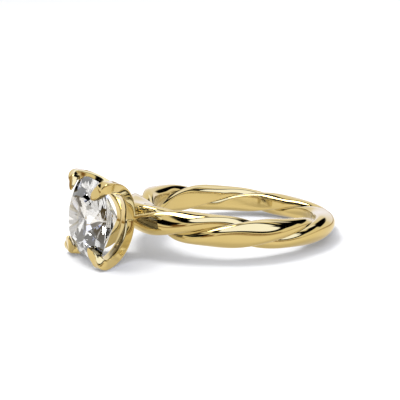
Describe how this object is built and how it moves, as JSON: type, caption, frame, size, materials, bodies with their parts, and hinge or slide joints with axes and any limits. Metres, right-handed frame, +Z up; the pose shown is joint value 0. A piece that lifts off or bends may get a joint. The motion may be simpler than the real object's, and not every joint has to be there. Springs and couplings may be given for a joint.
{
  "type": "twisted shank ring",
  "caption": "Yellow gold finger ring with a shank of twisted strands and a clear cushion-cut stone held by claws, lying on its side",
  "frame": {"origin": "Middle of the ring's footprint, on the surface that it lies on", "axes": "+X runs from the stone towards the shank opposite it, +Y across the ring, +Z up from the surface; the finger hole's axis leans a few degrees from +Z, because the ring lies on two claws and on its shank"},
  "size_m": [0.0292, 0.0222, 0.0089],
  "materials": {
    "gold": "polished yellow gold",
    "stone": "clear, brilliant cut"
  },
  "bodies": {
    "root": {"ring_mount": "gold", "center_stone": "stone"}
  },
  "joints": []
}
